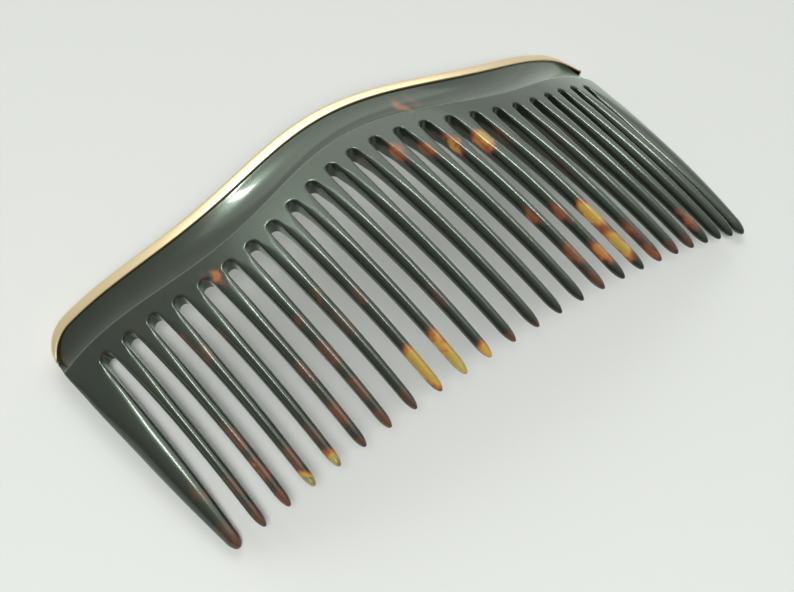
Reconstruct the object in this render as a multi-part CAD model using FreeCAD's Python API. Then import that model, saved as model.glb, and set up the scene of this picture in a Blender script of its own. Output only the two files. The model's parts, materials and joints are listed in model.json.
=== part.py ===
import FreeCAD, Part
import math
import os

from FreeCAD import Vector

# A gold-rimmed hair comb, sawn from one sheet of shell and then bent over a former.
#
# The outline is laid out on the flat sheet. "across" is measured along the row of teeth from the
# middle of the comb. "down" is measured from the root of the middle gap towards the tips, so the
# heading has negative values. "depth" is measured from the outer face into the sheet.
# Lengths are millimetres and angles are degrees.

# The bent sheet
ACROSS_RADIUS = 77.5        # bend across the comb, at the outer face
BOW_RADIUS = 132.0          # gentle bow along the teeth
BOW_CROWN = 1.0             # down at which the bow is level
HEADING_THICKNESS = 2.9
TIP_THICKNESS = 1.4

# The outline
HALF_WIDTH = 50.2           # middle of the comb to its side edge at the shoulder
SIDE_MIDDLE_HALF_WIDTH = 50.7
TIP_HALF_WIDTH = 49.2
CREST_DOWN = -8.5           # top edge of the shell at the middle
WAVE_LENGTH = 48.0          # from the middle hump to the shoulder hump
CREST_WAVE = 2.6            # how far the waists between the humps dip, at the crest
CREST_STEPS = 16
SHOULDER_ACROSS = 5.2       # half axes of the rounded shoulder
SHOULDER_DOWN = 4.7
SHOULDER_TURNS = (20, 40, 60, 80)
RIM_STEP = 0.3              # the shell is stepped in at the sides, under the ends of the rim

# The teeth and the gaps between them
TEETH = 25
ROOT_PITCH = 3.9
TIP_PITCH = 4.0
ROOT_WAVE = 3.4             # how far the waists dip, at the roots of the gaps
GAP_ROOT_WIDTH = 1.7
GAP_TIP_WIDTH = 2.6
MIDDLE_TIP_DOWN = 36.4
SIDE_TIP_RISE = 4.8         # how much shorter the row of tips is at the sides

# The bevels that ease the teeth on the outer face, and the blunt noses at their tips
ROOT_BEVEL = 0.3
MIDDLE_BEVEL = 0.55
TIP_BEVEL = 0.45
BEVEL_OVERRUN = 0.15        # how far the cutters' slopes run on above the face
NOSE_LENGTH = 1.0
NOSE_NARROWING = 0.35       # on each side of a tooth, over the length of its nose

# The cove between the rim and the ridge above the teeth
COVE_TOP = -7.1
RIDGE_ABOVE_ROOTS = 2.6
COVE_DEPTH = 0.5
COVE_OVERRUN = 0.8          # how far the cutter's arc runs on past each edge of the cove

# The gold rim, and the pins that hold it from the inner side
RIM_WALL = 0.35
RIM_CROWN = 0.9             # how far the rounded back stands above the crest of the shell
LIP_HEIGHT = 1.45
LIP_END_HEIGHT = 0.9
PIN_RADIUS = 0.4
PIN_SPACING = 36.0
PINS = 3
PIN_END_DEPTH = 0.9         # the pins stop this far short of the outer face

SPARE = 4.0                 # how far blanks and cutting tools reach past the comb


def between(first, last, share):
    return first + share * (last - first)


def parabola(first, middle, last, share):
    """Value at a share of the way along a parabola through its two ends and its middle."""
    swell = middle - (first + last) / 2
    return between(first, last, share) + 4 * swell * share * (1 - share)


def thickness(down):
    """Thickness of the sheet, thinning evenly from the crest to the tips."""
    share = (down - CREST_DOWN) / (MIDDLE_TIP_DOWN - CREST_DOWN)
    return between(HEADING_THICKNESS, TIP_THICKNESS, share)


def lengthwise(down, depth):
    """Distance from the bending axis, and place along Y, of a point of the lengthwise section."""
    angle = (down - BOW_CROWN) / BOW_RADIUS
    radius = BOW_RADIUS - depth
    return ACROSS_RADIUS - BOW_RADIUS + radius * math.cos(angle), -BOW_CROWN - radius * math.sin(angle)


def bent(across, down, depth=0.0):
    """Place of a point of the flat sheet after bending."""
    angle = across / lengthwise(down, 0)[0]
    from_axis, y = lengthwise(down, depth)
    return Vector(from_axis * math.sin(angle), y, from_axis * math.cos(angle) - ACROSS_RADIUS)


def outward(across, down):
    """Direction square to the outer face."""
    return bent(across, down) - bent(across, down, 1)


def wave(across, dip):
    """The serpentine line: zero at the humps and the full dip at the waists."""
    return dip * math.sin(math.pi * across / WAVE_LENGTH) ** 2


def tip_down(across):
    return MIDDLE_TIP_DOWN - SIDE_TIP_RISE * (across / HALF_WIDTH) ** 2


def gap_middle(number, share):
    """Point (across, down) of a gap's middle line, at a share of the way from its root to the tips."""
    place = number - (TEETH - 2) / 2
    root_across = ROOT_PITCH * place
    tip_across = TIP_PITCH * place
    down = between(wave(root_across, ROOT_WAVE), tip_down(tip_across), share)
    return between(root_across, tip_across, share), down


def side_half_width(down):
    """Middle of the comb to its side edge, which swells gently and draws in to the end tooth's tip."""
    top = CREST_DOWN + SHOULDER_DOWN
    share = (down - top) / (tip_down(HALF_WIDTH) - top)
    return parabola(HALF_WIDTH, SIDE_MIDDLE_HALF_WIDTH, TIP_HALF_WIDTH, share)


def crest_line():
    """Stations (across, down, turn) of the top edge of the shell, with its rounded shoulders."""
    start = HALF_WIDTH - RIM_STEP - SHOULDER_ACROSS
    stations = []
    for i in range(CREST_STEPS + 1):
        across = start * (2 * i / CREST_STEPS - 1)
        stations.append((across, CREST_DOWN + wave(across, CREST_WAVE), 0))
    for degrees in SHOULDER_TURNS:
        turn = math.radians(degrees)
        across = start + SHOULDER_ACROSS * math.sin(turn)
        down = CREST_DOWN + wave(across, CREST_WAVE) + SHOULDER_DOWN * (1 - math.cos(turn))
        stations.append((across, down, degrees))
        stations.insert(0, (-across, down, degrees))
    return stations


def line(start, end):
    return Part.LineSegment(start, end).toShape()


def spline(points):
    curve = Part.BSplineCurve()
    curve.interpolate(points)
    return curve.toShape()


def skin(rows):
    """Smooth face through a grid of points."""
    surface = Part.BSplineSurface()
    surface.interpolate(rows)
    return surface.toShape()


def blank_face(depth_at):
    """Face of the blank at the depth that depth_at(down) gives."""
    first = CREST_DOWN - SPARE
    last = MIDDLE_TIP_DOWN + SPARE
    rows = []
    for i in range(-6, 7):
        across = (HALF_WIDTH + SPARE) * i / 6
        downs = [between(first, last, j / 4) for j in range(5)]
        rows.append([bent(across, down, depth_at(down)) for down in downs])
    return skin(rows)


def bent_sheet():
    """Blank sheet, wider and longer than the comb."""
    outer = blank_face(lambda down: 0)
    inner = blank_face(thickness)
    walls = [Part.makeRuledSurface(a, b) for a, b in zip(outer.Edges, inner.Edges)]
    sheet = Part.Solid(Part.Shell([outer, inner] + walls))
    sheet.fix(0.001, 0.001, 0.001)
    if sheet.Volume < 0:
        sheet.reverse()
    return sheet


def wall_tool(stations, push):
    """Solid that cuts the sheet along a line of (across, down), square to its face."""
    top = spline([bent(across, down, -SPARE) for across, down in stations])
    bottom = spline([bent(across, down, HEADING_THICKNESS + SPARE) for across, down in stations])
    return Part.makeRuledSurface(top, bottom).extrude(push)


def crest_tools():
    """Above the crest, and above the ends of the rim out past the sides."""
    stations = [(across, down) for across, down, turn in crest_line()]
    push = Vector(0, 3 * SPARE, 0)
    tools = [wall_tool(stations, push)]
    for across, down in (stations[0], stations[-1]):
        outside = math.copysign(HALF_WIDTH + 2 * SPARE, across)
        tools.append(wall_tool([(across, down), (outside, down)], push))
    return tools


class Section:
    """Plane square to a line on the outer face: points are given sideways of it and above the face."""

    def __init__(self, here, ahead):
        self.place = bent(*here)
        self.up = outward(*here)
        along = bent(*ahead) - self.place
        self.sideways = self.up.cross(along).normalize()
        self.lowest = -thickness(here[1]) - SPARE

    def at(self, aside, above):
        return self.place + self.sideways * aside + self.up * above

    def bevelled(self, wall, bevel, way):
        """Points from high above the face to far below it, down a wall with a 45 degree bevel."""
        wide = wall + way * (bevel + BEVEL_OVERRUN)
        return [self.at(wide, SPARE), self.at(wide, BEVEL_OVERRUN), self.at(wall, -bevel),
                self.at(wall, self.lowest)]

    def plain(self, wall):
        return [self.at(wall, SPARE), self.at(wall, self.lowest)]


def ring(near, far):
    """Closed wire down one wall and up the wall facing it."""
    points = near + far[::-1]
    return Part.makePolygon(points + points[:1])


def gap_tools(number):
    """One gap between teeth, bevelled on the outer face: the tapering slot and its round root."""
    length = gap_middle(number, 1)[1] - gap_middle(number, 0)[1]
    first = GAP_ROOT_WIDTH / 2 / length
    nose = NOSE_LENGTH / length
    shares = (first, 0.25, 0.5, 0.75, 1 - nose, 1 + nose)
    sections = [Section(gap_middle(number, share), gap_middle(number, share + nose)) for share in shares]
    wires = []
    for share, section in zip(shares, sections):
        half = between(GAP_ROOT_WIDTH, GAP_TIP_WIDTH, share - first) / 2
        if share > 1:
            half += 2 * NOSE_NARROWING
        bevel = parabola(ROOT_BEVEL, MIDDLE_BEVEL, TIP_BEVEL, share - first)
        wires.append(ring(section.bevelled(half, bevel, 1), section.bevelled(-half, bevel, -1)))
    slot = Part.makeLoft(wires, True, True)
    half_root = ring(sections[0].bevelled(GAP_ROOT_WIDTH / 2, ROOT_BEVEL, 1), sections[0].plain(0))
    root = Part.Face(half_root).revolve(sections[0].place, sections[0].up, 180)
    return [slot, root]


def edge_tool(points, bevels, inwards):
    """Everything outside a row of points on the sheet, with the comb's edge bevelled along them."""
    wires = []
    for here, ahead, bevel in zip(points, points[1:], bevels):
        section = Section(here, ahead)
        wires.append(ring(section.bevelled(0, bevel, inwards), section.plain(-inwards * 3 * SPARE)))
    return Part.makeLoft(wires, True, False)


def side_tool(side):
    """Outside one side edge of the comb."""
    first = CREST_DOWN + SHOULDER_DOWN - SPARE
    last = MIDDLE_TIP_DOWN + 2 * SPARE
    downs = [between(first, last, i / 7) for i in range(8)]
    points = [(side * side_half_width(down), down) for down in downs]
    bevels = [parabola(ROOT_BEVEL, MIDDLE_BEVEL, TIP_BEVEL, i / 6) for i in range(7)]
    return edge_tool(points, bevels, -side)


def tip_tool():
    """Beyond the tips of the teeth."""
    acrosses = [(HALF_WIDTH + SPARE) * i / 5 for i in range(-5, 7)]
    points = [(across, tip_down(across)) for across in acrosses]
    return edge_tool(points, [TIP_BEVEL] * len(points), 1)


def cove_tool():
    """The hollow between the rim and the ridge above the teeth, with arcs across it."""
    rows = []
    steps = 8
    for i in range(-steps, steps + 1):
        across = (HALF_WIDTH + SPARE) * i / steps
        top = COVE_TOP + wave(across, CREST_WAVE)
        ridge = wave(across, ROOT_WAVE) - RIDGE_ABOVE_ROOTS
        half = (ridge - top) / 2
        radius = (half ** 2 + COVE_DEPTH ** 2) / (2 * COVE_DEPTH)
        row = []
        for j in range(-2, 3):
            aside = (half + COVE_OVERRUN) * j / 2
            depth = COVE_DEPTH - radius + math.sqrt(radius ** 2 - aside ** 2)
            row.append(bent(across, (top + ridge) / 2 + aside, depth))
        rows.append(row)
    return skin(rows).extrude(Vector(0, 0, 3 * SPARE))


def rim_outside():
    """The rim's outside, as D-shaped sections square to the crest."""
    stations = crest_line()
    sections = []
    for i, (across, down, turn) in enumerate(stations):
        before = bent(*stations[max(i - 1, 0)][:2])
        after = bent(*stations[min(i + 1, len(stations) - 1)][:2])
        up = outward(across, down)
        above = up.cross(after - before).normalize()
        crest = bent(across, down)
        lip = between(LIP_HEIGHT, LIP_END_HEIGHT, (turn / SHOULDER_TURNS[-1]) ** 2)
        front = crest + up * RIM_WALL
        back = crest - up * (thickness(down) + RIM_WALL)
        crown = crest + above * RIM_CROWN - up * (thickness(down) / 2)
        rounded = Part.Arc(front, crown, back).toShape()
        lips = Part.makePolygon([back, back - above * lip, front - above * lip, front])
        sections.append(Part.Wire([rounded] + lips.Edges))
    return Part.makeLoft(sections, True, True)


def pin(number, overrun):
    """A wire square to the sheet, from short of the outer face to `overrun` past the inner lip."""
    across = PIN_SPACING * (number - (PINS - 1) / 2)
    down = CREST_DOWN + wave(across, CREST_WAVE) + LIP_HEIGHT / 2
    length = thickness(down) + RIM_WALL + overrun - PIN_END_DEPTH
    return Part.makeCylinder(PIN_RADIUS, length, bent(across, down, PIN_END_DEPTH), outward(across, down) * -1)


def only_solid(shape):
    return shape.Solids[0]


def lying_angle(plate, rim):
    """Turn about X, in degrees, that brings the tips of the teeth level with the ends of the rim."""
    tips = [point for point in plate.tessellate(0.05)[0] if point.y < -MIDDLE_TIP_DOWN / 2]
    ends = rim.tessellate(0.05)[0]

    def lowest(points, degrees):
        turn = math.radians(degrees)
        return min(point.z * math.cos(turn) + point.y * math.sin(turn) for point in points)

    low, high = -30.0, 30.0
    while high - low > 0.001:
        middle = (low + high) / 2
        if lowest(tips, middle) < lowest(ends, middle):
            high = middle
        else:
            low = middle
    return middle


def comb():
    holes = [pin(number, SPARE) for number in range(PINS)]
    sheet = bent_sheet().cut(crest_tools())
    rim = rim_outside().cut([sheet] + holes)
    plate = sheet.cut([side_tool(1), side_tool(-1)])
    plate = plate.cut(tip_tool())
    plate = plate.cut(cove_tool())
    plate = plate.cut([tool for number in range(TEETH - 1) for tool in gap_tools(number)])
    plate = plate.cut(holes)
    pins = Part.makeCompound([pin(number, 0) for number in range(PINS)])
    return {"comb_plate": only_solid(plate), "gold_rim": only_solid(rim), "rim_pins": pins}


def lay_down(parts):
    """Lay the comb on its tips and rim ends, with the origin under the middle of its box."""
    degrees = lying_angle(parts["comb_plate"], parts["gold_rim"])
    for shape in parts.values():
        shape.rotate(Vector(0, 0, 0), Vector(1, 0, 0), degrees)
    points = [point for shape in parts.values() for point in shape.tessellate(0.02)[0]]
    floor = min(point.z for point in points)
    front = min(point.y for point in points)
    behind = max(point.y for point in points)
    for shape in parts.values():
        shape.translate(Vector(0, -(front + behind) / 2, -floor))
    print("lying angle %.3f, lift %.4f, shift %.4f" % (degrees, -floor, -(front + behind) / 2))


if __name__ == "__main__":
    os.makedirs("parts", exist_ok=True)
    parts = comb()
    lay_down(parts)
    for name, shape in parts.items():
        print(name, shape.isValid(), len(shape.Solids), "%.1f mm3" % shape.Volume)
        shape.exportStep("parts/" + name + ".step")
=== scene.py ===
import json
import math

import bmesh
import bpy
from mathutils import Matrix, Vector
from mathutils.kdtree import KDTree

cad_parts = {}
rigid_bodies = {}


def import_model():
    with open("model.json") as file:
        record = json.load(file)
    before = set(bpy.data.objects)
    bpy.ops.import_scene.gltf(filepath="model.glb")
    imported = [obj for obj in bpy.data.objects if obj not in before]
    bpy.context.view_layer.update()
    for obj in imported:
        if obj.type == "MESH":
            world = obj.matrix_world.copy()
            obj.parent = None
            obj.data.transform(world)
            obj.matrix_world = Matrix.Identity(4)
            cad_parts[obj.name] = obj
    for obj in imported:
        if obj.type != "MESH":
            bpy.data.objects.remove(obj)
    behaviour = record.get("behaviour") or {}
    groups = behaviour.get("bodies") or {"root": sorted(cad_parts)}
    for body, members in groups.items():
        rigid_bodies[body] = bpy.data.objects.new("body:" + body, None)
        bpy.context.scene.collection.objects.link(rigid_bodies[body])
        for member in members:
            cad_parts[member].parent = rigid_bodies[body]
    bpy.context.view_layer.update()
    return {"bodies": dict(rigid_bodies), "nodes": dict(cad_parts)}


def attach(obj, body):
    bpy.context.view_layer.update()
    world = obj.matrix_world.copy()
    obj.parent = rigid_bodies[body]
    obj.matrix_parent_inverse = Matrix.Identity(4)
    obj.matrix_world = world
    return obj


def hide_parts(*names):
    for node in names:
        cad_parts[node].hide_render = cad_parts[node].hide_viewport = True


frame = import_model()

# Camera, metres and degrees
CAMERA_AIM = Vector((-0.0080, -0.0048, 0.010))
CAMERA_DISTANCE = 0.304
CAMERA_AZIMUTH = 45.33      # turn of the line of sight from +Y towards +X
CAMERA_ELEVATION = 49.18
CAMERA_ROLL = 7.14
CAMERA_LENS = 106.1         # millimetres
CAMERA_SENSOR = 36.0        # millimetres
CAMERA_NEAR = 0.01

# The studio: an even pale light, with what the camera and the gloss see brighter towards one side
WORLD_COLOUR = (0.96, 1.0, 0.95, 1.0)
WORLD_LIGHT = 0.24
WORLD_BRIGHT_SIDE = Vector((0.5, 0.5, 0.7)).normalized()
WORLD_SEEN = ((-0.3, 0.22), (1.0, 1.02))       # (side, strength) away from it and towards it
LAMP_COLOUR = (0.97, 1.0, 0.95)
FLOOR_HALF_SIZE = 4.0

MM = 0.001                  # metres in a millimetre

# The comb's driving dimensions, in millimetres and degrees, as in the CAD source
ACROSS_RADIUS = 77.5
BOW_RADIUS = 132.0
BOW_CROWN = 1.0
HEADING_THICKNESS = 2.9
TIP_THICKNESS = 1.4
HALF_WIDTH = 50.2
SIDE_MIDDLE_HALF_WIDTH = 50.7
TIP_HALF_WIDTH = 49.2
CREST_DOWN = -8.5
WAVE_LENGTH = 48.0
CREST_WAVE = 2.6
SHOULDER_ACROSS = 5.2
SHOULDER_DOWN = 4.7
LAST_TURN = 80              # where the arc of the shoulder ends
RIM_STEP = 0.3
TEETH = 25
ROOT_PITCH = 3.9
TIP_PITCH = 4.0
ROOT_WAVE = 3.4
GAP_ROOT_WIDTH = 1.7
GAP_TIP_WIDTH = 2.6
MIDDLE_TIP_DOWN = 36.4
SIDE_TIP_RISE = 4.8
COVE_TOP = -7.1
RIDGE_ABOVE_ROOTS = 2.6
COVE_DEPTH = 0.5
RIM_WALL = 0.35
LIP_HEIGHT = 1.45

# Where the mount departs from the solid, millimetres: it thins out at its two ends
RIM_CROWN = 0.89            # 0.9 in the solid; a little less keeps the smooth arc inside the solid's box
RIM_END_CROWN = 0.12
LIP_END_HEIGHT = 0.35       # 0.9 in the solid

# How the finished comb lies: turned about X, then lifted and shifted, as in the CAD source
LYING_ANGLE = -3.894
LIFT = 18.363
SHIFT = 13.4825

# The rounding that the plain solids leave out, in millimetres and shares
ROOT_ROUND = 0.3            # width of the rounded edge round the root of a gap
ROOT_ROUND_DEPTH = 0.25
SOLE_SHARE = 0.12           # share of a tooth's length where its own rounding takes over from the root's
ROOT_TOOTH_ROUND = 0.30     # part of the thickness that rounds off on the outer face, at the roots
TIP_TOOTH_ROUND = 0.6       # and at the tips
TOOTH_INNER_SHARE = 0.3
ROOT_ARCH = 0.55            # under 1, the top of a tooth is flat with round edges; 1 is elliptical
TIP_ARCH = 1.1
ROUND_BY = 0.45             # share of a tooth's length by which it is fully round
NOSE_LENGTH = 2.8           # 1.0 in the solid
RIDGE_SOFTNESS = 0.06
SIDE_INSET = 0.1            # keeps the rounded side edges within the bevelled ones of the solid
SOCKET = 0.03               # slack between the rim's lips and the shell
LIP_ROUND = 0.12

# Mottles: tooth, where 1 is the left one; share of its length, below 0 on the heading; radius in mm;
# clearness, where 1 is clear yellow
MOTTLES = (
    (15.5, -0.11, 1.1, 0.56), (16.1, -0.13, 1.2, 0.33), (5.95, 0.04, 1.0, 0.56), (5.6, -0.01, 0.8, 0.30),
    (1.5, -0.03, 0.7, 0.30), (3.75, 0.21, 1.3, 0.32), (4.6, 0.27, 1.3, 0.36), (4.0, 0.30, 1.2, 0.28),
    (1.0, 0.74, 1.2, 0.26), (1.0, 0.96, 1.6, 0.31), (2.0, 0.80, 1.5, 0.28), (2.0, 0.95, 1.4, 0.32),
    (3.0, 0.66, 1.6, 0.33), (3.0, 0.81, 1.4, 0.36), (2.9, 0.80, 0.5, 0.52), (3.0, 0.96, 1.3, 0.35),
    (4.0, 0.86, 1.5, 0.33), (4.0, 0.985, 1.3, 1.00), (5.0, 0.84, 1.3, 0.31), (5.0, 0.985, 1.3, 1.00),
    (6.0, 0.62, 1.2, 0.29), (6.0, 0.83, 1.6, 0.34), (6.0, 0.98, 1.0, 0.30), (7.0, 0.42, 1.0, 0.33),
    (7.0, 0.60, 1.5, 0.32), (7.0, 0.79, 1.4, 0.33), (7.0, 0.96, 1.3, 0.36), (8.0, 0.40, 0.9, 0.42),
    (8.0, 0.55, 1.3, 0.30), (8.0, 0.96, 1.2, 0.31), (9.0, 0.50, 1.1, 0.29), (11.0, 0.70, 1.2, 0.28),
    (9.0, 0.86, 1.4, 0.86), (9.0, 0.93, 1.2, 0.90), (9.0, 1.00, 0.9, 0.34), (10.0, 0.86, 1.4, 0.80),
    (10.0, 0.94, 1.6, 1.00), (11.0, 0.985, 1.1, 0.85), (12.0, 0.99, 0.9, 0.32), (13.0, 0.99, 0.8, 0.28),
    (12.85, 0.08, 0.9, 0.32), (13.85, 0.11, 1.2, 0.52), (14.75, 0.14, 1.0, 0.50), (15.8, 0.15, 1.0, 0.84),
    (16.9, 0.165, 1.15, 0.86), (17.9, 0.16, 1.1, 0.36), (15.8, 0.60, 1.0, 0.46), (15.9, 0.82, 1.2, 0.40),
    (15.9, 0.96, 1.4, 0.33), (16.8, 0.63, 1.1, 0.46), (16.9, 0.86, 1.1, 0.62), (17.9, 0.69, 1.3, 0.86),
    (17.8, 0.86, 1.4, 0.92), (17.8, 0.76, 1.0, 0.46), (18.7, 0.84, 1.4, 0.42), (18.8, 0.96, 1.3, 0.44),
    (19.9, 0.97, 1.0, 0.29), (20.9, 0.97, 1.0, 0.28), (21.9, 0.86, 1.0, 0.43), (21.9, 0.90, 0.8, 0.36))
MOTTLE_STRETCH = 0.42       # a mottle is this many times as wide as it is long
MOTTLE_CORE = 1.6           # clearness at the heart of a mottle, before it is capped
MOTTLE_FALL = 1.3           # clearness lost over one radius
MOTTLE_WARP = 0.0022        # metres by which noise makes the mottles ragged
WARP_SCALE = 420.0
STREAK_SCALE = 260.0
STREAK_CLEARNESS = (0.36, -0.12)                # gain and offset of the streaks between the mottles
STREAK_UNEVENNESS = (0.7, 0.64)                 # gain and offset of the streaks within them
GLASSINESS = (2.5, -1.9)                        # gain and offset: only the clearest parts transmit
SHELL_COLOURS = (
    (0.00, (0.008, 0.010, 0.008)), (0.12, (0.014, 0.012, 0.009)), (0.26, (0.045, 0.018, 0.012)),
    (0.36, (0.110, 0.028, 0.015)), (0.52, (0.290, 0.075, 0.018)), (0.70, (0.440, 0.180, 0.028)),
    (0.86, (0.510, 0.330, 0.045)), (1.00, (0.620, 0.520, 0.170)))
SHELL_SCRATCH_SCALE = 900.0
SHELL_ROUGHNESS = (0.08, 0.22)                  # gain and offset
# Painted highlight: a light greenish grey mixed into the shell's colour along the ridge above the teeth,
# standing in for the light that the ridge catches
PAINTED_RIDGE_HIGHLIGHT_COLOUR = (0.15, 0.16, 0.13, 1.0)
PAINTED_RIDGE_HIGHLIGHT_STRENGTH = 0.8
GOLD_WAVER_SCALE = 160.0
GOLD_ROUGHNESS = (0.12, 0.28)                   # gain and offset

# Steps of the meshes
ROUND_STEPS = 6
TOOTH_STEPS = 22
NOSE_STEPS = 8
ARM_STEPS = 9
ARC_STEPS = 12
RIM_STEPS = 96
SHOULDER_STEPS = 12
CROWN_STEPS = 14
CREST_ROWS = 2
COVE_STEPS = 10
LAND_STEPS = 3              # between the ridge and the roots
LEAST_CREST = 0.05          # millimetres from the crest to the cove, where they would meet
RIDGE_ROWS = (-0.4, -0.15, -0.06, 0.0, 0.06, 0.15, 0.5, 1.0, 1.5)    # millimetres below the ridge
WELD = 1e-6                 # metres
PAINTED_RIDGE_HIGHLIGHT_WIDTH = 0.00015        # metres each side of the ridge that the painted highlight line covers
PAINTED_RIDGE_HIGHLIGHT_STEP = 0.1             # millimetres between the points of the painted highlight line


def between(first, last, share):
    return first + share * (last - first)


def smooth(share):
    share = min(max(share, 0.0), 1.0)
    return share * share * (3 - 2 * share)


def thickness(down):
    """Thickness of the sheet, thinning evenly from the crest to the tips."""
    share = (down - CREST_DOWN) / (MIDDLE_TIP_DOWN - CREST_DOWN)
    return between(HEADING_THICKNESS, TIP_THICKNESS, share)


def lengthwise(down, depth):
    """Distance from the bending axis, and place along Y, on the lengthwise section."""
    angle = (down - BOW_CROWN) / BOW_RADIUS
    radius = BOW_RADIUS - depth
    return ACROSS_RADIUS - BOW_RADIUS + radius * math.cos(angle), -BOW_CROWN - radius * math.sin(angle)


def bent(across, down, depth=0.0):
    """Place in the CAD frame, in metres, of a point of the flat sheet."""
    angle = across / lengthwise(down, 0)[0]
    from_axis, y = lengthwise(down, depth)
    point = Vector((from_axis * math.sin(angle), y, from_axis * math.cos(angle) - ACROSS_RADIUS))
    turn = Matrix.Rotation(math.radians(LYING_ANGLE), 3, "X")
    return (turn @ point + Vector((0, SHIFT, LIFT))) * MM


def wave(across, dip):
    """The serpentine line: zero at the humps and the full dip at the waists."""
    return dip * math.sin(math.pi * across / WAVE_LENGTH) ** 2


def tip_down(across):
    return MIDDLE_TIP_DOWN - SIDE_TIP_RISE * (across / HALF_WIDTH) ** 2


def side_half_width(down):
    """From the middle of the comb to its side edge."""
    top = CREST_DOWN + SHOULDER_DOWN
    share = (down - top) / (tip_down(HALF_WIDTH) - top)
    swell = SIDE_MIDDLE_HALF_WIDTH - (HALF_WIDTH + TIP_HALF_WIDTH) / 2
    return between(HALF_WIDTH, TIP_HALF_WIDTH, share) + 4 * swell * share * (1 - share) - SIDE_INSET


SHOULDER_START = HALF_WIDTH - RIM_STEP - SHOULDER_ACROSS


def crest(across):
    """Down of the shell's top edge."""
    beyond = min(max(abs(across) - SHOULDER_START, 0) / SHOULDER_ACROSS, math.sin(math.radians(LAST_TURN)))
    return CREST_DOWN + wave(across, CREST_WAVE) + SHOULDER_DOWN * (1 - math.sqrt(1 - beyond ** 2))


def gap_point(number, share):
    """Point on the middle line of a gap, at a share of its length."""
    place = number - (TEETH - 2) / 2
    down = between(wave(ROOT_PITCH * place, ROOT_WAVE), tip_down(TIP_PITCH * place), share)
    return Vector((between(ROOT_PITCH * place, TIP_PITCH * place, share), down))


def ridge(across):
    return wave(across, ROOT_WAVE) - RIDGE_ABOVE_ROOTS


def cove(across, down):
    """Depth of the hollow above the teeth, with its edges softened."""
    top = COVE_TOP + wave(across, CREST_WAVE)
    half = (ridge(across) - top) / 2
    inside = 1 - ((down - top) / half - 1) ** 2
    return COVE_DEPTH * (inside + math.hypot(inside, RIDGE_SOFTNESS)) / 2


def add_piece(name, grids, material, caps=()):
    """Weld grids of points, and faces that fill closed rows of points, into one smooth mesh object."""
    mesh = bmesh.new()
    for grid in grids:
        rows = [[mesh.verts.new(point) for point in row] for row in grid]
        for row, following in zip(rows, rows[1:]):
            for i in range(len(row) - 1):
                mesh.faces.new((row[i], row[i + 1], following[i + 1], following[i]))
    for cap in caps:
        mesh.faces.new([mesh.verts.new(point) for point in cap])
    bmesh.ops.remove_doubles(mesh, verts=mesh.verts, dist=WELD)
    bmesh.ops.dissolve_degenerate(mesh, edges=mesh.edges, dist=WELD)
    bmesh.ops.recalc_face_normals(mesh, faces=mesh.faces)
    for face in mesh.faces:
        face.smooth = True
    data = bpy.data.meshes.new(name)
    mesh.to_mesh(data)
    mesh.free()
    data.materials.append(material)
    piece = bpy.data.objects.new(name, data)
    bpy.context.collection.objects.link(piece)
    return piece


def shell_point(flat, depth):
    """Point of the shell, sunk by the cove on the outer side."""
    across, down = flat
    full = thickness(down)
    return bent(across, down, depth + cove(across, down) * (1 - depth / full))


def rounded_edge(inside, wall, outer_depth, inner_depth, arch):
    """Points from the outer face, over an edge, down the wall and round to the inner face."""
    points = []
    for i in range(ROUND_STEPS + 1):
        angle = math.pi / 2 * (1 - i / ROUND_STEPS)
        flat = inside.lerp(wall, max(math.cos(angle), 0.0) ** arch)
        points.append(shell_point(flat, outer_depth * (1 - math.sin(angle) ** arch)))
    for i in range(ROUND_STEPS + 1):
        angle = math.pi / 2 * i / ROUND_STEPS
        flat = inside.lerp(wall, math.cos(angle))
        points.append(shell_point(flat, thickness(flat.y) - inner_depth * (1 - math.sin(angle))))
    return points


def tooth_middle(number, share):
    """Middle line of a tooth, with the wall on its left and the wall on its right."""
    if number > 0:
        left = gap_point(number - 1, share) + Vector((gap_half(share), 0))
    if number < TEETH - 1:
        right = gap_point(number, share) - Vector((gap_half(share), 0))
    if number == 0:
        left = Vector((-side_half_width(right.y), right.y))
    if number == TEETH - 1:
        right = Vector((side_half_width(left.y), left.y))
    return (left + right) / 2, left, right


def gap_half(share):
    return between(GAP_ROOT_WIDTH, GAP_TIP_WIDTH, share) / 2


def tooth_rounding(share, full):
    """Depth of the outer and of the inner rounding, and the arch, of a tooth."""
    settled = smooth(share / ROUND_BY)
    return (between(ROOT_TOOTH_ROUND, TIP_TOOTH_ROUND, settled) * full, TOOTH_INNER_SHARE * full,
            between(ROOT_ARCH, TIP_ARCH, settled))


def tooth_edge(middle, wall, share):
    return rounded_edge(middle, wall, *tooth_rounding(share, thickness(wall.y)))


def tooth_grids(number):
    """Both halves of one tooth, from where its own rounding takes over to the end of its nose."""
    halves = [[], []]
    nose = NOSE_LENGTH / MIDDLE_TIP_DOWN
    for i in range(TOOTH_STEPS + 1):
        share = between(SOLE_SHARE, 1 - nose, i / TOOTH_STEPS)
        middle, left, right = tooth_middle(number, share)
        for half, wall in zip(halves, (left, right)):
            half.append(tooth_edge(middle, wall, share))
    heart, left, right = tooth_middle(number, 1 - nose)
    end = tooth_middle(number, 1)[0]
    end.y = tip_down(end.x)
    for i in range(1, NOSE_STEPS + 1):
        angle = math.pi / 2 * i / NOSE_STEPS
        here = heart.lerp(end, math.sin(angle))
        core = bent(here.x, here.y, thickness(here.y) / 2)
        for half, wall in zip(halves, (left, right)):
            ring = tooth_edge(here, here + wall - heart, 1 - nose)
            half.append([core.lerp(point, math.cos(angle)) for point in ring])
    return halves


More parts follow.
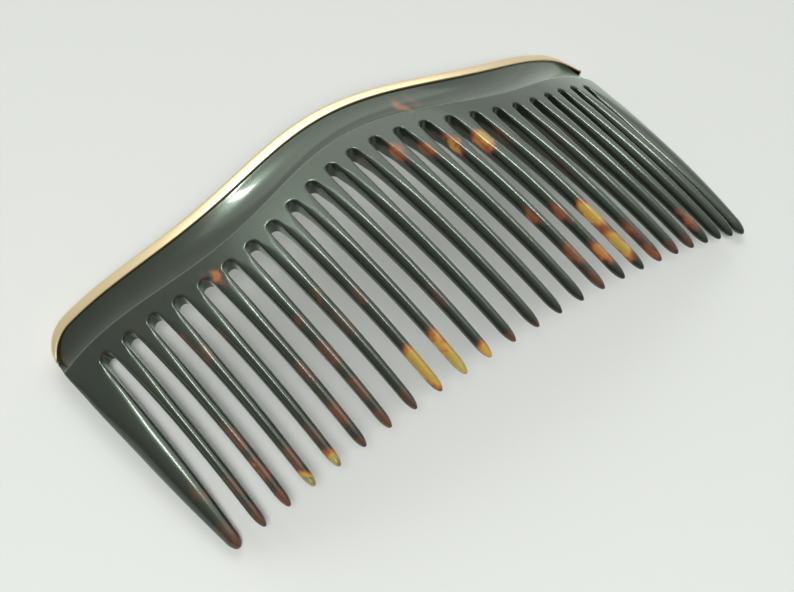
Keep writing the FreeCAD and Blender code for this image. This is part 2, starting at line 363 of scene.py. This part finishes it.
def root_edges(number):
    """The rounded edge round the root of a gap, from the tooth on its left to the one on its right."""
    edges = []
    centre_share = GAP_ROOT_WIDTH / 2 / (gap_point(number, 1) - gap_point(number, 0)).y
    centre = gap_point(number, centre_share)
    for side, tooth in ((-1, number), (1, number + 1)):
        arm = []
        for i in range(ARM_STEPS + 1):
            share = between(SOLE_SHARE, centre_share, i / ARM_STEPS)
            middle, left, right = tooth_middle(tooth, share)
            wall = gap_point(number, share) + Vector((side * gap_half(share), 0))
            settled = smooth(i / ARM_STEPS)
            width = between(abs(middle.x - wall.x), ROOT_ROUND, settled)
            inside = between(middle, wall + Vector((side * width, 0)), min(1, i))
            arm.append((inside, wall, settled))
        edges.append(arm)
    arc = []
    for i in range(1, ARC_STEPS):
        angle = math.pi * i / ARC_STEPS
        ray = Vector((-math.cos(angle), -math.sin(angle)))
        radius = gap_half(centre_share)
        arc.append((centre + ray * (radius + ROOT_ROUND), centre + ray * radius, 1.0))
    return edges[0] + arc + edges[1][::-1]


def settle(inside, wall, settled):
    """Rounded edge between that of a tooth, at 0, and that round the root of a gap, at 1."""
    tooth = tooth_rounding(SOLE_SHARE, thickness(wall.y))
    root = (ROOT_ROUND_DEPTH, ROOT_ROUND_DEPTH, 1.0)
    return rounded_edge(inside, wall, *(between(a, b, settled) for a, b in zip(tooth, root)))


def heading_downs(across, last):
    """Rows of the heading from the crest, over the cove and its ridge, to the given down."""
    first = crest(across)
    top = max(COVE_TOP + wave(across, CREST_WAVE), first + LEAST_CREST)
    low = ridge(across)
    downs = [between(first, top, i / CREST_ROWS) for i in range(CREST_ROWS)]
    downs += [between(top, low + RIDGE_ROWS[0], i / COVE_STEPS) for i in range(COVE_STEPS)]
    downs += [low + row for row in RIDGE_ROWS]
    return downs + [between(downs[-1], last, i / LAND_STEPS) for i in range(1, LAND_STEPS + 1)]


def side_column(side):
    """Stations (inside, wall, settled) of a side edge, from the end of the rim to the end tooth."""
    tooth = 0 if side < 0 else TEETH - 1
    joint = tooth_middle(tooth, SOLE_SHARE)[0]
    widest = side_half_width(joint.y) - abs(joint.x)
    column = []
    for down in heading_downs(HALF_WIDTH, joint.y):
        settled = smooth((joint.y - down) / (joint.y - ridge(HALF_WIDTH)))
        wall = Vector((side * side_half_width(down), down))
        inside = wall - Vector((side * between(widest, ROOT_ROUND, settled), 0))
        column.append((inside, wall, settled))
    return column


def comb_plate():
    """The shell with its teeth rounded over, as the sawn and polished comb has them."""
    grids = []
    columns = []
    for number in range(TEETH - 1):
        edges = root_edges(number)
        grids.append([settle(*edge) for edge in edges])
        columns += [inside for inside, wall, settled in edges[1:-1]]
        if number < TEETH - 2:
            columns.append(edges[-1][0])
    for number in range(TEETH):
        grids += tooth_grids(number)
    heading = [[Vector((end.x, down)) for down in heading_downs(end.x, end.y)] for end in columns]
    caps = []
    for side in (-1, 1):
        column = side_column(side)
        strip = [settle(*edge) for edge in column]
        grids.append(strip)
        caps.append(strip[0])
        heading.insert(0 if side < 0 else len(heading), [inside for inside, wall, settled in column])
    outer = [[shell_point(flat, 0) for flat in column] for column in heading]
    inner = [[shell_point(flat, thickness(flat.y)) for flat in column] for column in heading]
    crest_wall = [[a[0], b[0]] for a, b in zip(outer, inner)]
    return grids + [outer, inner, crest_wall], caps


def paint_ridge_highlight(piece):
    """Mark the vertices along the ridge above the teeth, where the material paints a fine light line: a
    painted highlight standing in for the light the ridge catches.
    """
    count = round(2 * HALF_WIDTH / PAINTED_RIDGE_HIGHLIGHT_STEP)
    line = KDTree(count)
    for i in range(count):
        across = i * PAINTED_RIDGE_HIGHLIGHT_STEP - HALF_WIDTH
        line.insert(shell_point(Vector((across, ridge(across))), 0), i)
    line.balance()
    painted_ridge_highlight = piece.data.attributes.new("painted_ridge_highlight", "FLOAT", "POINT")
    for vertex, mark in zip(piece.data.vertices, painted_ridge_highlight.data):
        mark.value = max(0.0, 1 - line.find(vertex.co)[2] / PAINTED_RIDGE_HIGHLIGHT_WIDTH)


def rim_section(share, full):
    """Closed outline (above the crest, outside the face) of the rim; share 1 is its end."""
    lip = between(LIP_HEIGHT, LIP_END_HEIGHT, share ** 2)
    crown = between(RIM_CROWN, RIM_END_CROWN, share ** 2)
    top = -LIP_HEIGHT / 4
    outline = []
    for i in range(CROWN_STEPS + 1):
        angle = math.pi * i / CROWN_STEPS
        outline.append((top + (crown - top) * math.sin(angle),
                        -full / 2 + (full / 2 + RIM_WALL) * math.cos(angle)))
    back = -full - RIM_WALL + SOCKET
    inner_lip = [(-lip + LIP_ROUND, back), (-lip + LIP_ROUND / 4, back + LIP_ROUND / 4),
                 (-lip, back + LIP_ROUND)]
    socket = [(-lip, -full - SOCKET), (0, -full - SOCKET), (0, SOCKET), (-lip, SOCKET)]
    outer_lip = [(-lip, RIM_WALL - LIP_ROUND), (-lip + LIP_ROUND / 4, RIM_WALL - LIP_ROUND / 4),
                 (-lip + LIP_ROUND, RIM_WALL)]
    return outline + inner_lip + socket + outer_lip


def gold_rim():
    """The mount, swept along the crest from one shoulder to the other."""
    shoulder = [math.radians(LAST_TURN) * i / SHOULDER_STEPS for i in range(1, SHOULDER_STEPS + 1)]
    acrosses = [SHOULDER_START * (2 * i / RIM_STEPS - 1) for i in range(RIM_STEPS + 1)]
    ends = [SHOULDER_START + SHOULDER_ACROSS * math.sin(turn) for turn in shoulder]
    acrosses = [-end for end in reversed(ends)] + acrosses + ends
    flats = [Vector((across, crest(across))) for across in acrosses]
    rings = []
    for i, flat in enumerate(flats):
        here = bent(*flat)
        up = (here - bent(*flat, 1.0)).normalized()
        ahead = bent(*flats[min(i + 1, len(flats) - 1)]) - bent(*flats[max(i - 1, 0)])
        above = up.cross(ahead).normalized()
        share = max(SHOULDER_STEPS - i, i - len(flats) + 1 + SHOULDER_STEPS, 0) / SHOULDER_STEPS
        outline = rim_section(share, thickness(flat.y))
        ring = [here + (above * rise + up * out) * MM for rise, out in outline]
        rings.append(ring + ring[:1])
    return [rings], [rings[0][:-1], rings[-1][:-1]]


class NodeTree:
    """Short calls that add and join the nodes of one material."""

    def __init__(self, name):
        self.material = bpy.data.materials.new(name)
        self.material.use_nodes = True
        self.tree = self.material.node_tree
        self.tree.nodes.clear()

    def add(self, kind, inputs=None, **settings):
        node = self.tree.nodes.new("ShaderNode" + kind)
        for key, value in settings.items():
            setattr(node, key, value)
        for key, value in (inputs or {}).items():
            if isinstance(value, bpy.types.NodeSocket):
                self.tree.links.new(value, node.inputs[key])
            else:
                node.inputs[key].default_value = value
        return node

    def math(self, operation, first, second):
        return self.add("Math", {0: first, 1: second}, operation=operation).outputs[0]

    def vector(self, operation, first, second):
        return self.add("VectorMath", {0: first, 1: second}, operation=operation).outputs[0]

    def scaled(self, value, gain_and_offset, clamp=False):
        gain, offset = gain_and_offset
        node = self.add("Math", {0: value, 1: gain, 2: offset}, operation="MULTIPLY_ADD", use_clamp=clamp)
        return node.outputs[0]

    def ramp(self, value, stops):
        node = self.add("ValToRGB", {0: value})
        elements = node.color_ramp.elements
        while len(elements) < len(stops):
            elements.new(0.5)
        for element, (place, colour) in zip(elements, stops):
            element.position = place
            element.color = colour if len(colour) == 4 else (*colour, 1.0)
        return node.outputs[0]

    def finish(self, shader):
        output = self.add("OutputMaterial")
        self.tree.links.new(shader, output.inputs["Surface"])
        return self.material


def mottle_centre(tooth, share):
    """Heart of a mottle, in the stretched coordinates of the material."""
    pitch = between(ROOT_PITCH, TIP_PITCH, share)
    across = (tooth - (TEETH + 1) / 2) * pitch
    down = between(wave(across, ROOT_WAVE), tip_down(across), share)
    place = bent(across, down, thickness(down) / 4)
    return place.x, place.y * MOTTLE_STRETCH, place.z


def shell_material():
    """Polished tortoiseshell: greenish black, with red-brown and amber mottles."""
    n = NodeTree("polished_tortoiseshell")
    place = n.add("TexCoord").outputs["Object"]
    ragged = n.add("TexNoise", {"Vector": place, "Scale": WARP_SCALE, "Detail": 3.0}).outputs["Color"]
    centred = n.vector("SUBTRACT", ragged, (0.5, 0.5, 0.5))
    warped = n.vector("ADD", place, n.vector("MULTIPLY", centred, (MOTTLE_WARP, MOTTLE_WARP, MOTTLE_WARP)))
    stretched = n.vector("MULTIPLY", warped, (1.0, MOTTLE_STRETCH, 1.0))
    streaks = n.add("TexNoise", {"Vector": stretched, "Scale": STREAK_SCALE, "Detail": 4.0,
                                 "Roughness": 0.6}).outputs["Fac"]
    clearness = n.scaled(streaks, STREAK_CLEARNESS)
    for tooth, share, radius, clear in MOTTLES:
        away = n.add("VectorMath", {0: stretched, 1: mottle_centre(tooth, share)}, operation="DISTANCE")
        fall = -MOTTLE_FALL * clear / (radius * MM)
        rise = n.scaled(away.outputs["Value"], (fall, MOTTLE_CORE * clear))
        clearness = n.math("MAXIMUM", clearness, n.math("MINIMUM", rise, clear))
    clearness = n.math("MULTIPLY", clearness, n.scaled(streaks, STREAK_UNEVENNESS))
    # Painted highlight along the ridge: the marked vertices get the lighter colour mixed in
    painted_ridge_highlight = n.add("Attribute", attribute_name="painted_ridge_highlight").outputs["Fac"]
    colour = n.add("MixRGB", {
        "Fac": n.math("MULTIPLY", painted_ridge_highlight, PAINTED_RIDGE_HIGHLIGHT_STRENGTH), "Color1": n.ramp(clearness, SHELL_COLOURS),
        "Color2": PAINTED_RIDGE_HIGHLIGHT_COLOUR}).outputs[0]
    glassy = n.scaled(clearness, GLASSINESS, clamp=True)
    fine = n.add("TexNoise", {"Vector": place, "Scale": SHELL_SCRATCH_SCALE, "Detail": 4.0})
    bump = n.add("Bump", {"Height": fine.outputs["Fac"], "Strength": 0.05, "Distance": 0.0001})
    rough = n.scaled(fine.outputs["Fac"], SHELL_ROUGHNESS)
    shader = n.add("BsdfPrincipled", {
        "Base Color": colour, "Roughness": rough, "IOR": 1.56, "Normal": bump.outputs[0],
        "Transmission Weight": glassy, "Specular Tint": (0.80, 1.0, 0.82, 1.0),
        "Coat Weight": 0.35, "Coat Roughness": 0.08,
        "Sheen Weight": 0.3, "Sheen Roughness": 0.4, "Sheen Tint": (0.78, 1.0, 0.82, 1.0)})
    return n.finish(shader.outputs[0])


def gold_material():
    """Pale polished gold with the soft waver of hand finishing."""
    n = NodeTree("polished_gold")
    place = n.add("TexCoord").outputs["Object"]
    waver = n.add("TexNoise", {"Vector": place, "Scale": GOLD_WAVER_SCALE, "Detail": 2.0})
    bump = n.add("Bump", {"Height": waver.outputs["Fac"], "Strength": 0.25, "Distance": 0.0003})
    rough = n.scaled(waver.outputs["Fac"], GOLD_ROUGHNESS)
    shader = n.add("BsdfPrincipled", {
        "Base Color": (0.84, 0.67, 0.42, 1.0), "Metallic": 1.0, "Roughness": rough,
        "Normal": bump.outputs[0]})
    return n.finish(shader.outputs[0])


def floor_material():
    n = NodeTree("pale_floor")
    shader = n.add("BsdfPrincipled", {"Base Color": (0.775, 0.775, 0.780, 1.0), "Roughness": 0.9})
    return n.finish(shader.outputs[0])


def dress(node, material):
    """Give a CAD node that stays visible its material."""
    mesh = frame["nodes"][node].data
    for index in range(len(mesh.materials)):
        mesh.materials[index] = material


def add_floor():
    size = FLOOR_HALF_SIZE
    mesh = bpy.data.meshes.new("floor")
    corners = [(-size, -size, 0), (size, -size, 0), (size, size, 0), (-size, size, 0)]
    mesh.from_pydata(corners, [], [(0, 1, 2, 3)])
    floor = bpy.data.objects.new("floor", mesh)
    bpy.context.collection.objects.link(floor)
    mesh.materials.append(floor_material())


def look_along(azimuth, elevation, roll=0.0):
    """Rotation of an object whose -Z axis is the line of sight."""
    turn = Matrix.Rotation(math.radians(-azimuth), 4, "Z")
    tilt = Matrix.Rotation(math.radians(90 - elevation), 4, "X")
    return turn @ tilt @ Matrix.Rotation(math.radians(roll), 4, "Z")


def add_camera():
    data = bpy.data.cameras.new("camera")
    data.lens = CAMERA_LENS
    data.sensor_width = CAMERA_SENSOR
    data.clip_start = CAMERA_NEAR
    camera = bpy.data.objects.new("camera", data)
    bpy.context.collection.objects.link(camera)
    rotation = look_along(CAMERA_AZIMUTH, CAMERA_ELEVATION, CAMERA_ROLL)
    back = rotation @ Vector((0, 0, CAMERA_DISTANCE))
    camera.matrix_world = Matrix.Translation(CAMERA_AIM + back) @ rotation
    bpy.context.scene.camera = camera


def add_softbox(name, azimuth, elevation, distance, size, power, glossy=True, diffuse=True):
    """A lamp, wide and high as size says, that shines along the given direction at the comb."""
    data = bpy.data.lights.new(name, "AREA")
    data.shape = "RECTANGLE"
    data.size, data.size_y = size
    data.color = LAMP_COLOUR
    data.energy = power
    lamp = bpy.data.objects.new(name, data)
    bpy.context.collection.objects.link(lamp)
    rotation = look_along(azimuth, elevation)
    lamp.matrix_world = Matrix.Translation(rotation @ Vector((0, 0, distance))) @ rotation
    lamp.visible_glossy = glossy
    lamp.visible_diffuse = diffuse


def add_world():
    """An even pale studio: dimmer as light on the comb than as what the camera and the gloss see."""
    world = bpy.data.worlds.new("studio")
    world.use_nodes = True
    tree = world.node_tree
    background = tree.nodes["Background"]
    background.inputs["Color"].default_value = WORLD_COLOUR
    rays = tree.nodes.new("ShaderNodeLightPath").outputs
    seen = rays["Is Camera Ray"]
    for name in ("Is Glossy Ray", "Is Transmission Ray"):
        either = tree.nodes.new("ShaderNodeMath")
        either.operation = "MAXIMUM"
        tree.links.new(seen, either.inputs[0])
        tree.links.new(rays[name], either.inputs[1])
        seen = either.outputs[0]
    towards = tree.nodes.new("ShaderNodeVectorMath")
    towards.operation = "DOT_PRODUCT"
    tree.links.new(tree.nodes.new("ShaderNodeTexCoord").outputs["Generated"], towards.inputs[0])
    towards.inputs[1].default_value = WORLD_BRIGHT_SIDE
    shade = tree.nodes.new("ShaderNodeMapRange")
    tree.links.new(towards.outputs["Value"], shade.inputs["Value"])
    for end, (side, strength) in zip(("Min", "Max"), WORLD_SEEN):
        shade.inputs["From " + end].default_value = side
        shade.inputs["To " + end].default_value = strength
    strength = tree.nodes.new("ShaderNodeMapRange")
    tree.links.new(seen, strength.inputs["Value"])
    strength.inputs["To Min"].default_value = WORLD_LIGHT
    tree.links.new(shade.outputs["Result"], strength.inputs["To Max"])
    tree.links.new(strength.outputs["Result"], background.inputs["Strength"])
    bpy.context.scene.world = world


shell = shell_material()
gold = gold_material()
body = list(frame["bodies"])[0]
for name, (grids, caps), material, slot, node in (
        ("rounded_comb_plate", comb_plate(), shell, "shell", "comb_plate"),
        ("smooth_gold_rim", gold_rim(), gold, "gold", "gold_rim")):
    piece = add_piece(name, grids, material, caps)
    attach(piece, body)
    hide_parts(node)
    if material is shell:
        # paints the highlight line along the ridge into the shell's colour
        paint_ridge_highlight(piece)
dress("rim_pins", gold)
add_floor()
add_camera()
add_world()
add_softbox("ceiling", azimuth=-145.0, elevation=50.0, distance=1.2, size=(1.1, 1.1), power=4.4)
add_softbox("window", azimuth=-165.0, elevation=68.0, distance=1.2, size=(0.1, 0.35), power=4.8,
            diffuse=False)
add_softbox("front", azimuth=45.3, elevation=49.2, distance=0.9, size=(0.2, 0.2), power=6.4, glossy=False)
bpy.context.scene.view_settings.view_transform = "Standard"
